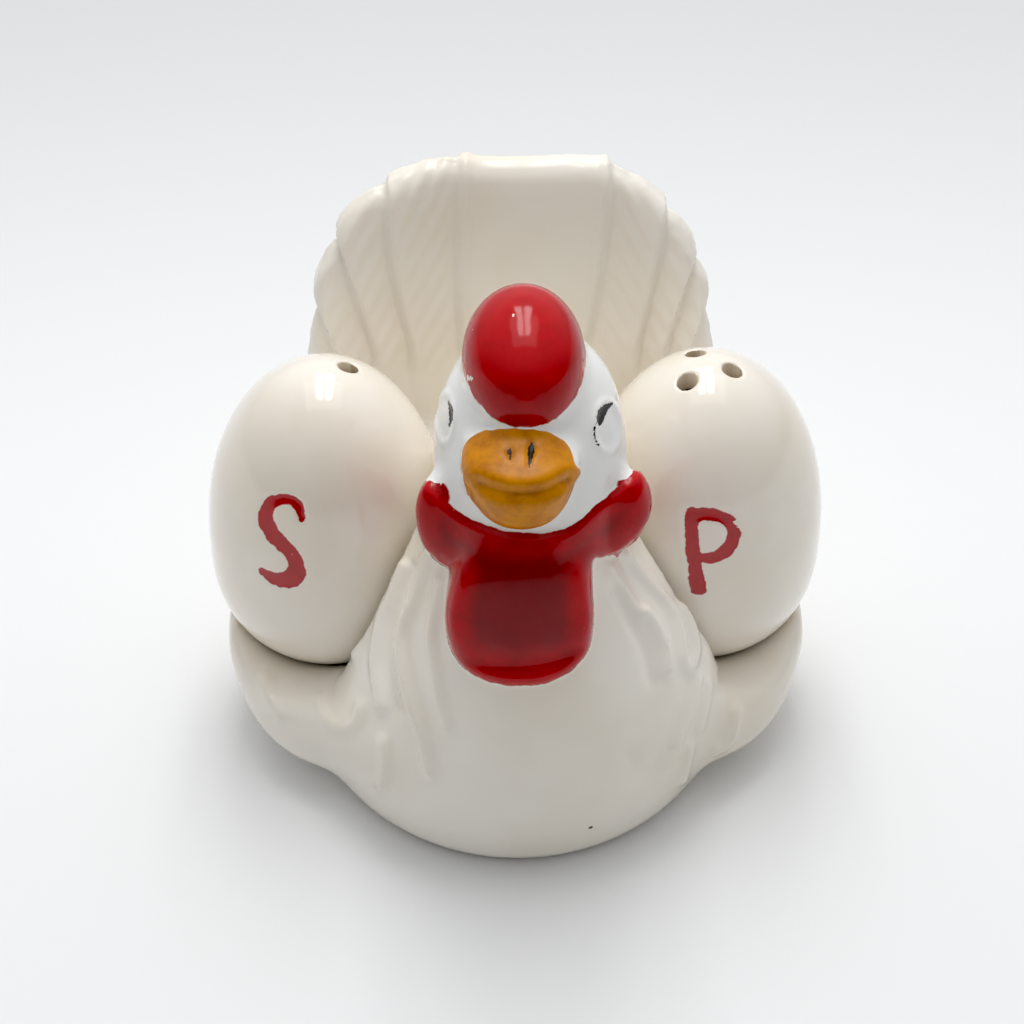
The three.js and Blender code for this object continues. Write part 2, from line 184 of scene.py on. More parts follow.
MOUTH = [(-8.0, 39.6), (-4.0, 38.0), (0.0, 37.5), (4.0, 38.1), (8.0, 40.0)]

BREAST_DEPTH = 2.0
# soft feather strokes on the breast: points aside and up, then height and half width
BREAST_FEATHERS = [
    ([(-17.1, 26.5), (-19.7, 18.7), (-22.1, 13.6), (-23.0, 9.6), (-22.3, 4.1), (-20.9, -1.6),
      (-18.9, -8.4), (-17.6, -14.8)], 0.75, 1.3),
    ([(-22.0, 24.5), (-24.6, 18.2), (-26.6, 14.0), (-27.9, 6.7), (-27.6, 2.5), (-26.9, -2.7)], 0.65, 1.2),
    ([(-26.7, -9.0), (-26.3, -14.2), (-27.5, -18.4)], 0.6, 1.2),
    ([(-14.9, 22.0), (-17.0, 12.0), (-16.4, 4.2), (-15.7, -0.9), (-14.1, -6.3)], 0.5, 1.3),
    ([(-25.4, 22.5), (-28.4, 16.5), (-31.2, 11.7), (-32.3, 7.0)], 0.6, 1.0),
    ([(-39.6, -2.0), (-38.6, -5.2), (-35.9, -7.0), (-32.6, -6.4), (-31.0, -2.6)], 0.5, 1.3),
    ([(-51.1, 2.0), (-49.9, -2.0), (-47.6, -5.2)], 0.5, 1.2),
    ([(16.5, 24.0), (19.4, 19.4), (22.6, 14.4)], 0.4, 1.2),
    ([(23.4, 15.4), (25.8, 12.0), (27.6, 7.6), (27.9, 3.4)], 0.7, 1.2),
    ([(20.0, 26.0), (24.6, 20.6), (29.4, 15.4), (31.0, 10.1), (31.4, 5.8), (32.6, 3.6), (34.0, 6.8),
      (33.3, 11.6), (31.4, 15.6)], 0.6, 1.1),
    ([(34.4, 1.4), (33.0, -2.6), (31.4, -6.9), (29.7, -11.4)], 0.55, 1.3),
    ([(36.9, 0.2), (36.0, -4.2), (35.2, -8.2)], 0.4, 1.2),
    ([(43.0, -5.6), (42.6, -9.0), (41.3, -12.2), (38.6, -13.6)], 0.6, 1.2),
    ([(33.0, -12.2), (32.4, -16.0), (31.9, -19.0)], 0.5, 1.2),
    ([(20.6, -12.6), (23.0, -15.6), (25.6, -14.8)], -0.35, 2.2),
    ([(-20.6, 24.4), (-23.4, 17.4), (-25.0, 11.0), (-25.2, 4.4), (-23.8, -2.8)], -0.45, 1.2),
    ([(17.8, 20.0), (20.4, 14.0), (23.6, 8.0), (24.8, 2.0)], -0.35, 1.4),
]

TAIL_ROOT = 30.0
TAIL_TOP = 100.0
TAIL_HALF_WIDTH = 42.0
TAIL_FRONT = 30.0
TAIL_THICK = 9.0
TAIL_LEAN = 0.17
TAIL_CURL = 6.0
TAIL_SPREAD = math.radians(74)
TAIL_SQUARENESS = 3.6
FEATHER_HEIGHTS = (62.0, 78.0, 97.0)
# feather edges on the fan, from the middle out: distance aside at those heights
FEATHERS_LEFT = [
    (-10.0, -10.5, -9.3), (-20.5, -23.8, -25.0), (-28.0, -32.5, -38.0), (-36.0, -41.0, -46.0),
]
FEATHERS_RIGHT = [(15.5, 18.2, 19.3), (26.2, 29.2, 32.4), (31.8, 36.2, 43.0), (37.0, 41.5, 47.0)]

FEATHER_STEP = 2.1  # how far each feather rises across its width
SCALLOP = 2.2
FAN_CRESTS = [(-13.0, 6.0), (18.0, 8.0)]  # aside, spread
CREST_RISE = 1.6
VOXEL = 1.08
SHARP_ANGLE = math.radians(60)
FAR = 20.0  # gaps stored for the glazes stop here


# ---------- mesh tools ----------

def mesh_object(name, bm):
    """A linked object holding the bmesh."""
    mesh = bpy.data.meshes.new(name)
    bm.to_mesh(mesh)
    bm.free()
    piece = bpy.data.objects.new(name, mesh)
    bpy.context.scene.collection.objects.link(piece)
    return piece


def bake_modifiers(piece):
    """The modifiers' result becomes the piece's own mesh."""
    graph = bpy.context.evaluated_depsgraph_get()
    graph.update()
    made = bpy.data.meshes.new_from_object(piece.evaluated_get(graph))
    piece.modifiers.clear()
    old = piece.data
    piece.data = made
    bpy.data.meshes.remove(old)
    return piece


def remesh(piece, voxel):
    """Joins all overlapping forms of the piece into one skin."""
    skin = piece.modifiers.new("skin", "REMESH")
    skin.mode = "VOXEL"
    skin.voxel_size = voxel
    skin.use_smooth_shade = True
    return bake_modifiers(piece)


def carve(piece, tool, operation="DIFFERENCE"):
    """Cuts the tool out of the piece, or keeps what they share, and removes the tool."""
    cut = piece.modifiers.new("cut", "BOOLEAN")
    cut.operation = operation
    cut.solver = "MANIFOLD"
    cut.object = tool
    bake_modifiers(piece)
    bpy.data.objects.remove(tool)
    return piece


def points_of(piece):
    co = np.empty(len(piece.data.vertices) * 3)
    piece.data.vertices.foreach_get("co", co)
    return co.reshape(-1, 3)


def move_points(piece, co):
    piece.data.vertices.foreach_set("co", np.ascontiguousarray(co).ravel())
    piece.data.update()


def normals_of(piece):
    out = np.empty(len(piece.data.vertices) * 3)
    piece.data.vertices.foreach_get("normal", out)
    return out.reshape(-1, 3)


def relax(piece, weight, rounds, pull=0.5):
    """Smooths the surface where weight is above 0, as a wet sponge does before firing."""
    co = points_of(piece)
    count = len(co)
    edges = np.empty(len(piece.data.edges) * 2, dtype=np.int64)
    piece.data.edges.foreach_get("vertices", edges)
    first, second = edges.reshape(-1, 2).T
    valence = np.maximum(1, np.bincount(first, minlength=count) + np.bincount(second, minlength=count))
    share = (pull * np.broadcast_to(weight, count))[:, None]
    for _ in range(rounds):
        mean = np.empty_like(co)
        for axis in range(3):
            line = co[:, axis]
            total = np.bincount(first, line[second], count) + np.bincount(second, line[first], count)
            mean[:, axis] = total / valence
        co += share * (mean - co)
    move_points(piece, co)


def smoothstep(low, high, value):
    t = np.clip((value - low) / (high - low), 0.0, 1.0)
    return t * t * (3.0 - 2.0 * t)


def through(keys, at):
    """Smooth curve through rising keys of (place, value, value...), read at one or more places."""
    keys = np.asarray(keys, dtype=float)
    places, values = keys[:, 0], keys[:, 1:]
    gap = np.diff(places)[:, None]
    slope = np.diff(values, axis=0) / gap
    tangent = np.vstack([slope[:1], (slope[1:] + slope[:-1]) / 2, slope[-1:]])
    at = np.atleast_1d(np.asarray(at, dtype=float))
    i = np.clip(np.searchsorted(places, at, side="right") - 1, 0, len(places) - 2)
    width = gap[i]
    t = np.clip((at[:, None] - places[i][:, None]) / width, 0.0, 1.0)
    rise = (1 + 2 * t) * (1 - t) ** 2 * values[i] + t * t * (3 - 2 * t) * values[i + 1]
    return rise + t * (1 - t) ** 2 * width * tangent[i] - t * t * (1 - t) * width * tangent[i + 1]


def add_form(bm, form):
    """Moves a finished form into the bmesh."""
    part = bpy.data.meshes.new("part")
    form.to_mesh(part)
    form.free()
    bm.from_mesh(part)
    bpy.data.meshes.remove(part)


def ellipsoid(bm, half, centre, steps=64, box=1.0):
    """An ellipsoid, with squarer shoulders where box is below 1."""
    form = bmesh.new()
    bmesh.ops.create_uvsphere(form, u_segments=steps, v_segments=steps // 2, radius=1.0)
    for v in form.verts:
        if box < 1.0:
            v.co = Vector([math.copysign(abs(c) ** box, c) for c in v.co])
            v.co /= max(1.0, (sum(abs(c) ** (2 / box) for c in v.co)) ** (box / 2))
    bmesh.ops.transform(
        form, verts=form.verts, matrix=Matrix.Translation(centre) @ Matrix.Diagonal((*half, 1.0)))
    add_form(bm, form)


def ellipsoid_depth(co, half, centre, box=1.0):
    """About how far each point is outside the ellipsoid, and below 0 inside it."""
    scaled = np.abs((co - np.array(centre)) / np.array(half))
    length = np.sum(scaled ** (2 / box), axis=1) ** (box / 2)
    return (length - 1.0) * np.min(half)


def loft(bm, rings, segments=112):
    """A closed form through level oval rings of (height, centre, half width, half length)."""
    height, centre, width, length = rings[0]
    made = bmesh.ops.create_circle(bm, cap_ends=True, radius=1.0, segments=segments)
    ring = made["verts"]
    for v in ring:
        v.co = Vector((v.co.x * width, centre + v.co.y * length, height))
    edges = [e for e in bm.edges if e.verts[0] in ring and e.verts[1] in ring]
    for new_height, new_centre, new_width, new_length in rings[1:]:
        geom = bmesh.ops.extrude_edge_only(bm, edges=edges)["geom"]
        edges = [g for g in geom if isinstance(g, bmesh.types.BMEdge)]
        for v in (g for g in geom if isinstance(g, bmesh.types.BMVert)):
            across = v.co.x / width
            along = (v.co.y - centre) / length
            v.co = Vector((across * new_width, new_centre + along * new_length, new_height))
        centre, width, length = new_centre, new_width, new_length
    bmesh.ops.contextual_create(bm, geom=edges)
    bmesh.ops.recalc_face_normals(bm, faces=bm.faces)


def spun(bm, profile, steps):
    """A form turned about the vertical axis from a closed profile of (radius, height)."""
    verts = [bm.verts.new((radius, 0.0, height)) for radius, height in profile]
    edges = [bm.edges.new(pair) for pair in zip(verts, verts[1:])]
    bmesh.ops.spin(
        bm, geom=verts + edges, cent=(0, 0, 0), axis=(0, 0, 1), dvec=(0, 0, 0),
        angle=math.tau, steps=steps, use_merge=True, use_duplicate=False,
    )
    bmesh.ops.remove_doubles(bm, verts=bm.verts, dist=1e-4)
    bmesh.ops.recalc_face_normals(bm, faces=bm.faces)


def disc(name, place, depth, half, segments=56, low_share=1.0):
    """An upright oval column about a place, narrower at its foot where low_share is below 1."""
    bm = bmesh.new()
    bmesh.ops.create_cone(
        bm, cap_ends=True, segments=segments, radius1=low_share, radius2=1.0, depth=depth,
        matrix=Matrix.Translation(place) @ Matrix.Diagonal((*half, 1.0, 1.0)))
    return mesh_object(name, bm)


def keep_value(piece, name, values):
    """Stores one number for each point, which the glazes read."""
    layer = piece.data.attributes.new(name, "FLOAT", "POINT")
    layer.data.foreach_set("value", np.asarray(values, dtype=np.float32))


def finish_piece(piece, material, body, node):
    """Scales the piece to metres in the set's frame, and ties it to its body and node."""
    piece.data.transform(Matrix.Scale(1 / TO_MM, 4) @ Matrix.Translation((0, EGG_AXIS_Y, 0)))
    piece.data.materials.clear()
    piece.data.materials.append(material)
    piece.data.shade_smooth()
    piece.data.set_sharp_from_angle(angle=SHARP_ANGLE)
    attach(piece, body)
    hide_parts(node)
    return piece


# ---------- egg shapes ----------

def egg_radius(height, grow=0.0):
    """The egg's outer radius at heights above its foot."""
    height = np.asarray(height, dtype=float)
    up = np.clip((height - EGG_WIDEST) / (EGG_HEIGHT - EGG_WIDEST + grow), 0.0, 1.0)
    down = np.clip((EGG_WIDEST - height) / EGG_WIDEST, 0.0, 1.0)
    above = np.sqrt(1.0 - up ** EGG_TOP_FULLNESS)
    foot = EGG_FOOT_RADIUS / EGG_RADIUS * down
    below = np.minimum(1.0, np.hypot(np.sqrt(1.0 - down ** EGG_BASE_FULLNESS), foot))
    return grow + EGG_RADIUS * np.where(height > EGG_WIDEST, above, below)


def heights_between(low, high, steps):
    """Heights that crowd towards both ends, where the egg closes."""
    turn = np.linspace(0.0, math.pi, steps + 1)
    return low + (high - low) * (1.0 - np.cos(turn)) / 2.0


def smooth_line(points, steps=5, closed=False):
    """Points along the smooth curve through a few chosen ones."""
    points = np.asarray(points, dtype=float)
    if closed:
        padded = np.vstack([points[-1:], points, points[:2]])
    else:
        padded = np.vstack([2 * points[:1] - points[1:2], points, 2 * points[-1:] - points[-2:-1]])
    out = []
    for p0, p1, p2, p3 in zip(padded, padded[1:], padded[2:], padded[3:]):
        for t in np.arange(steps) / steps:
            out.append(0.5 * (2 * p1 + (p2 - p0) * t + (2 * p0 - 5 * p1 + 4 * p2 - p3) * t ** 2
                              + (3 * p1 - p0 - 3 * p2 + p3) * t ** 3))
    if not closed:
        out.append(points[-1])
    return np.array(out)


def line_distance(across, up, line):
    """Distance to a polyline, less the line's own half width where it has one."""
    best = np.full(len(across), 1e3)
    for start, end in zip(line, line[1:]):
        dx, dz = end[0] - start[0], end[1] - start[1]
        share = ((across - start[0]) * dx + (up - start[1]) * dz) / max(dx * dx + dz * dz, 1e-9)
        share = np.clip(share, 0, 1)
        gap = np.hypot(across - start[0] - share * dx, up - start[1] - share * dz)
        if len(start) > 2:
            gap = gap - start[2] - share * (end[2] - start[2])
        best = np.minimum(best, gap)
    return best


def outline_distance(across, up, outline):
    """Distance to a closed outline, below 0 inside it."""
    closed = np.vstack([outline, outline[:1]])
    gap = line_distance(across, up, closed)
    inside = np.zeros(len(across), dtype=bool)
    for (x0, z0), (x1, z1) in zip(closed, closed[1:]):
        if z0 == z1:
            continue
        crosses = (z0 > up) != (z1 > up)
        inside ^= crosses & (across < x0 + (up - z0) / (z1 - z0) * (x1 - x0))
    return np.where(inside, -gap, gap)


def egg_shell(name, place_x, holes, strokes, letter_turn, letter_height):
    """One hollow egg shaker, with pour holes, a filler hole below and a brushed letter."""
    outer = heights_between(0.0, EGG_HEIGHT, 160)
    inner_floor = RECESS_DEPTH + EGG_WALL
    inner = heights_between(inner_floor, EGG_HEIGHT - EGG_WALL, 40)[::-1]
    inner_radius = np.maximum(0.0, egg_radius(inner, -EGG_WALL))
    inner_radius[0] = 0.0
    edge = 0.45
    profile = list(zip(inner_radius, inner))
    profile += [
        (FILLER_RADIUS + edge, inner_floor), (FILLER_RADIUS, inner_floor - edge),
        (FILLER_RADIUS, RECESS_DEPTH + edge), (FILLER_RADIUS + edge, RECESS_DEPTH),
        (RECESS_RADIUS - edge, RECESS_DEPTH), (RECESS_RADIUS, RECESS_DEPTH - edge),
        (RECESS_RADIUS, edge), (RECESS_RADIUS + edge, 0.0),
    ]
    outer_radius = egg_radius(outer)
    outer_radius[-1] = 0.0
    profile += list(zip(outer_radius, outer))
    bm = bmesh.new()
    spun(bm, profile, EGG_STEPS)
    shell = mesh_object(name, bm)
    co = points_of(shell)
    outside = np.hypot(co[:, 0], co[:, 1]) > egg_radius(co[:, 2]) - SHELL_SKIN
    for across, along in holes:
        far = np.hypot(co[:, 0] - across, co[:, 1] - along)
        top = outside & (co[:, 2] > EGG_HEIGHT * 0.75)
        inside = np.clip((POUR_RADIUS + POUR_LIP - far) / POUR_LIP, 0.0, 1.0)
        co[:, 2] -= np.where(top, POUR_LIP * (1.0 - np.sqrt(1.0 - inside ** 2)), 0.0)
    move_points(shell, co)
    for across, along in holes:
        carve(shell, disc(
            "pour_hole", (across, along, EGG_HEIGHT), EGG_HEIGHT, (POUR_RADIUS, POUR_RADIUS), segments=40))
    co = points_of(shell)
    radius = np.hypot(co[:, 0], co[:, 1])
    outside = radius > egg_radius(co[:, 2]) - SHELL_SKIN
    around = np.arctan2(co[:, 0], -co[:, 1]) - letter_turn
    across = around * egg_radius(np.full(1, letter_height))[0]
    up = (co[:, 2] - letter_height) * LETTER_SQUASH
    gap = np.min([line_distance(across, up, smooth_line(line)) for line in strokes], axis=0)
    gap = np.where(outside, gap, 1e3) - LETTER_STROKE
    pressed = LETTER_DEPTH * smoothstep(0.5, -0.5, gap)
    co -= normals_of(shell) * pressed[:, None]
    move_points(shell, co)
    bare = np.where(outside, co[:, 2] - 0.5, -2.0)
    shell.data.transform(Matrix.Translation((place_x, 0.0, EGG_FOOT)))
    keep_value(shell, "letter_gap", np.minimum(gap, FAR))
    keep_value(shell, "glaze_edge", bare)
    return shell


def cork(name, place_x):
    """A tapered cork with a wider head, its edges rubbed round."""
    head_radius = (cork_high.x - cork_low.x) / 2
    length = cork_high.z - cork_low.z
    neck_radius = head_radius - 0.7
    tip_radius = neck_radius - 0.7
    head = 1.2
    profile = [
        (0.0, 0.0), (head_radius - 0.35, 0.0), (head_radius, 0.3), (head_radius, head - 0.15),
        (head_radius - 0.15, head), (neck_radius + 0.05, head), (neck_radius, head + 0.1),
        (tip_radius, length - 0.4), (tip_radius - 0.4, length), (0.0, length),
    ]
    bm = bmesh.new()
    spun(bm, profile, 96)
    bmesh.ops.subdivide_edges(
        bm, edges=[e for e in bm.edges if e.calc_length() > 1.0], cuts=5, use_grid_fill=True)
    bmesh.ops.triangulate(bm, faces=[f for f in bm.faces if len(f.verts) > 4])
    stopper = mesh_object(name, bm)
    co = points_of(stopper)
    around = np.arctan2(co[:, 1], co[:, 0])
    dents = 0.05 * np.sin(around * 7 + co[:, 2] * 2.3) + 0.04 * np.sin(around * 13 - co[:, 2] * 4.1)
    shrink = 1.0 - (0.09 + dents) / head_radius
    co[:, :2] *= shrink[:, None]
    move_points(stopper, co)
    stopper.data.transform(Matrix.Translation((place_x, 0.0, cork_low.z)))
    return stopper


# ---------- hen shapes ----------

def tail_reach(angle):
    """How far the fan's outline lies from its root, as a share, at an angle from upright."""
    power = TAIL_SQUARENESS
    return (np.abs(np.sin(angle)) ** power + np.abs(np.cos(angle)) ** power) ** (-1 / power)


def add_tail(bm):
    """The leaning, cupped fan with a thick round rim."""
    fan = bmesh.new()
    bmesh.ops.create_grid(fan, x_segments=90, y_segments=40, size=1.0)
    bmesh.ops.recalc_face_normals(fan, faces=fan.faces)
    made = bmesh.ops.extrude_face_region(fan, geom=list(fan.faces))["geom"]
    back = {g for g in made if isinstance(g, bmesh.types.BMVert)}
    rise = TAIL_TOP - TAIL_ROOT
    for v in fan.verts:
        angle = v.co.x * TAIL_SPREAD
        share = 1.0 - (1.0 - (v.co.y + 1.0) / 2.0) ** 1.6
        reach = float(tail_reach(angle))
        length = 0.08 + 0.92 * share
        across = math.sin(angle) * length * reach * TAIL_HALF_WIDTH
        up = math.cos(angle) * length * reach * rise
        rim = (1.0 - length) * reach * math.hypot(
            math.sin(angle) * TAIL_HALF_WIDTH, math.cos(angle) * rise)
        side = (1.0 - abs(v.co.x)) * TAIL_SPREAD * length * TAIL_HALF_WIDTH
        thick = TAIL_THICK * (1.25 - 0.25 * length)
        near = min(1.0, min(rim, side) / (thick / 2))
        half = max(0.12, math.sqrt(max(0.0, 1.0 - (1.0 - near) ** 2))) * thick / 2
        middle = TAIL_FRONT + thick / 2 + up * TAIL_LEAN - TAIL_CURL * (across / TAIL_HALF_WIDTH) ** 2
        v.co = Vector((across, middle + (half if v in back else -half), TAIL_ROOT + up))
    bmesh.ops.recalc_face_normals(fan, faces=fan.faces)
    add_form(bm, fan)


def cup_tool(side):
    """The hollow of one wing cup: dish, egg seat and the egg's way out."""
    bm = bmesh.new()
    ellipsoid(bm, DISH_HALF, (side * (EGG_PLACE + DISH_ASIDE), *DISH_CENTRE), 96)
    dish = mesh_object("cup_tool", bm)
    bm = bmesh.new()
    profile = [(0.0, -0.3), (EGG_FOOT_RADIUS + CUP_CLEARANCE, -0.3)]
    rising = heights_between(0.0, EGG_WIDEST, 24)[1:]
    profile += [(float(egg_radius(h, CUP_CLEARANCE)), float(h)) for h in rising]
    profile += [(EGG_RADIUS + CUP_CLEARANCE, LIFT_TOP), (0.0, LIFT_TOP)]
    spun(bm, profile, 120)
    bmesh.ops.translate(bm, verts=bm.verts, vec=(side * EGG_PLACE, 0.0, EGG_FOOT))
    seat = mesh_object("seat_tool", bm)
    return carve(dish, seat, "UNION")


def body_rings(shrink=0.0, low=0.0, high=108.5):
    """Rings of the body form, made smaller all round for the hollow inside."""
    heights = np.linspace(low, high, int((high - low) / RING_STEP) + 1)
    rows = through(BODY_RINGS, heights)
    return [
        (float(h), float(r[0]), max(0.6, float(r[1]) - shrink), max(0.6, float(r[2]) - shrink))
        for h, r in zip(heights, rows)
    ]


def pinch_breast(verts):
    """Narrows the breast on the salt egg's side."""
    for v in verts:
        near = smoothstep(20.0, 34.0, v.co.z) * smoothstep(82.0, 56.0, v.co.z)
        near *= smoothstep(6.0, -10.0, v.co.y)
        v.co.x *= 1.0 - near * (BREAST_PINCH if v.co.x < 0 else 0.02)


def open_shelves(hen):
    """Lowers the wings in front of the eggs to an open shelf, and softens all around it."""
    co = points_of(hen)
    x, y, z = np.abs(co[:, 0]), co[:, 1], co[:, 2]
    body_side = np.where(co[:, 0] < 0, 32.0, 37.0)
    front = smoothstep(-12.0, -20.0, y) * smoothstep(0.0, 4.0, x - body_side) * smoothstep(36.0, 30.0, z)
    top = SHELF_TOP + 9.0 * np.clip((body_side + 8.0 - x) / 8.0, 0.0, 1.0) ** 2
    co[:, 2] -= front * np.maximum(0.0, z - top)
    move_points(hen, co)
    flank = smoothstep(18.0, 26.0, x) * smoothstep(-9.0, -17.0, y)
    flank *= smoothstep(10.0, 16.0, z) * smoothstep(52.0, 40.0, z)
    relax(hen, flank, 34)
    wattle_root = smoothstep(16.0, 11.0, x) * smoothstep(-30.0, -35.0, y)
    wattle_root *= smoothstep(59.0, 66.0, z) * smoothstep(85.0, 80.0, z)
    relax(hen, wattle_root, 44)
    relax(hen, 1.0, 3)


def hen_form():
    """The whole hen before any painting: body, wings, tail, head and cups."""
    bm = bmesh.new()
    loft(bm, body_rings())
    pinch_breast(bm.verts)
    heights = np.linspace(WING_RINGS[0][0], WING_RINGS[-1][0], 18)
    rings = [(float(h), *map(float, row)) for h, row in zip(heights, through(WING_RINGS, heights))]
    for side in (-1, 1):
        wing = bmesh.new()
        loft(wing, rings, 96)
        bmesh.ops.translate(wing, verts=wing.verts, vec=(side * EGG_PLACE, 0, 0))
        add_form(bm, wing)
    for place in SADDLE_PLACES:
        ellipsoid(bm, SADDLE_HALF, place, 48)
    add_tail(bm)
    hen = mesh_object("hen", bm)
    remesh(hen, VOXEL * 1.3)
    co = points_of(hen)
    low_part = smoothstep(66.0, 40.0, co[:, 2])
    above_foot = smoothstep(3.0, 8.0, co[:, 2])
    relax(hen, np.maximum(0.08, low_part * above_foot), 30)
    co = points_of(hen)
    co[:, 0] += HEAD_ASIDE * smoothstep(*NECK, co[:, 2]) * (co[:, 1] < 10.0)
    move_points(hen, co)
    bm = bmesh.new()
    bm.from_mesh(hen.data)
    ellipsoid(bm, COMB_HALF, COMB_CENTRE, 72, COMB_BOX)
    ellipsoid(bm, UPPER_BEAK_HALF, UPPER_BEAK_CENTRE, 64, 0.9)
    ellipsoid(bm, LOWER_BEAK_HALF, LOWER_BEAK_CENTRE, 64)
    ellipsoid(bm, WATTLE_HALF, WATTLE_CENTRE, 72)
    for side in (-1, 1):
        ellipsoid(bm, LOBE_HALF, (LOBE_CENTRE[0] + side * LOBE_ASIDE, *LOBE_CENTRE[1:]), 48)
    bm.to_mesh(hen.data)
    bm.free()
    remesh(hen, VOXEL)
    for side in (-1, 1):
        carve(hen, cup_tool(side))
    remesh(hen, VOXEL)
    open_shelves(hen)
    return hen


def refine_face(hen):
    """Halves the mesh where the painted head and the fan need finer shape."""
    bm = bmesh.new()
    bm.from_mesh(hen.data)
    bm.normal_update()
    fine = {v for v in bm.verts if (v.co.y < -16.0 and 49.0 < v.co.z < 112.0)
            or (v.co.y > 22.0 and v.co.z > 50.0 and v.normal.y < 0.3)}
    edges = [e for e in bm.edges if e.verts[0] in fine and e.verts[1] in fine]
    bmesh.ops.subdivide_edges(bm, edges=edges, cuts=1, use_grid_fill=True)
    bm.to_mesh(hen.data)
    bm.free()
    co = points_of(hen)
    relax(hen, smoothstep(-12.0, -18.0, co[:, 1]) * smoothstep(45.0, 51.0, co[:, 2]), 3)


def as_painted(co):
    """Points as the painter sees them, looking down at the hen's face: aside and up."""
    return co[:, 0], co[:, 2] * math.cos(PAINT_TILT) + co[:, 1] * math.sin(PAINT_TILT)


def painted_outlines(co, normal):
    """Distances to the collar's and the beak's outlines as painted, below 0 inside."""
    across, up = as_painted(co)
    facing = normal[:, 2] * math.sin(PAINT_TILT) - normal[:, 1] * math.cos(PAINT_TILT)
    away = 60.0 * smoothstep(0.02, -0.25, facing) + 60.0 * smoothstep(-8.0, -2.0, co[:, 1])
    collar = outline_distance(across, up, smooth_line(COLLAR, 4, closed=True))
    collar += away + 60.0 * smoothstep(92.0, 95.0, co[:, 2])
    beak = outline_distance(across, up, smooth_line(BEAK, 4, closed=True))
    beak += away + 60.0 * smoothstep(86.0, 84.0, co[:, 2]) + 60.0 * smoothstep(-34.0, -31.0, co[:, 1])
    return facing, away, collar, beak


def paint_gaps(co, normal):
    """Distances to the edges of all the paint, below 0 on it."""
    across, up = as_painted(co)
    facing, away, collar, beak = painted_outlines(co, normal)
    # round the sides, each raised form is painted as far as it stands proud
    margin = 0.2 + 2.0 * smoothstep(0.45, 0.1, facing)
    below_eyes = margin - 60.0 * smoothstep(40.0, 43.0, up)
    collar = np.minimum(collar, ellipsoid_depth(co, WATTLE_HALF, WATTLE_CENTRE) - margin)
    for side in (-1, 1):
        lobe = (LOBE_CENTRE[0] + side * LOBE_ASIDE, *LOBE_CENTRE[1:])
        collar = np.minimum(collar, ellipsoid_depth(co, LOBE_HALF, lobe) - below_eyes)
    for half, centre in ((UPPER_BEAK_HALF, UPPER_BEAK_CENTRE), (LOWER_BEAK_HALF, LOWER_BEAK_CENTRE)):
        beak = np.minimum(beak, ellipsoid_depth(co, half, centre) - below_eyes)
    comb = ellipsoid_depth(co, COMB_HALF, COMB_CENTRE, COMB_BOX)
    comb -= COMB_MARGIN
    seen = np.hypot((across - COMB_PAINT[0]) / COMB_PAINT[2], (up - COMB_PAINT[1]) / COMB_PAINT[3]) - 1.0
    comb = np.maximum(comb, np.where(co[:, 1] < HEAD_Y + 8.0, seen * COMB_PAINT[2], -20.0))
    black = np.full(len(co), 1e3)
    for stroke in (RIGHT_EYE, RIGHT_EYE_LINE, LEFT_EYE, LEFT_NOSTRIL, RIGHT_NOSTRIL):
        black = np.minimum(black, line_distance(across, up, smooth_line(stroke, 4)))
    return collar, beak, comb, black + away


def face_relief(co, normal, collar, beak):
    """Raised collar and wattle, mouth, eye rings and nostrils."""
    across, up = as_painted(co)
    wattle = smoothstep(33.0, 13.0, up)
    wattle_rim = 0.9 * np.exp(-((collar + 2.2) / 1.3) ** 2)
    height = smoothstep(0.5, -1.1, collar) + wattle * (wattle_rim - 0.7 * smoothstep(-2.6, -6.5, collar))
    height *= smoothstep(60.0, 20.0, collar)
    mouth = line_distance(across, up, smooth_line(MOUTH))
    on_beak = smoothstep(0.6, -1.0, beak)
    height -= on_beak * 1.1 * np.exp(-(mouth / 1.15) ** 2)
    height += on_beak * 0.35 * np.exp(-((mouth - 2.3) / 1.2) ** 2)
    height += 0.35 * smoothstep(0.5, -0.6, beak)
    for place, rise, half_across, half_up in EYE_RINGS:
        far = np.hypot((across - place) / half_across, (up - rise) / half_up)
        ring = np.exp(-((far - 1.0) / 0.16) ** 2) - 0.3 * smoothstep(1.0, 0.5, far)
        height += 0.4 * ring * (co[:, 1] < -10.0)
    for stroke in (LEFT_NOSTRIL, RIGHT_NOSTRIL):
        gap = line_distance(across, up, smooth_line(stroke, 4))
        height -= 0.5 * smoothstep(0.3, -0.3, gap) * on_beak
    return height * (co[:, 1] < -8.0)


def breast_relief(co, normal):
    """Soft feather strokes pressed into the clay."""
    across, up = as_painted(co)
    facing = normal[:, 2] * math.sin(PAINT_TILT) - normal[:, 1] * math.cos(PAINT_TILT)
    reach = BREAST_DEPTH * smoothstep(0.1, 0.35, facing)
    reach *= smoothstep(3.0, 9.0, co[:, 2]) * smoothstep(-8.0, -14.0, co[:, 1])
    height = np.zeros(len(co))
    for points, rise, width in BREAST_FEATHERS:
        line = smooth_line(points, 4)
        gap = line_distance(across, up, line)
        height += rise * np.exp(-(gap / width / 0.9) ** 2)
    return height * reach


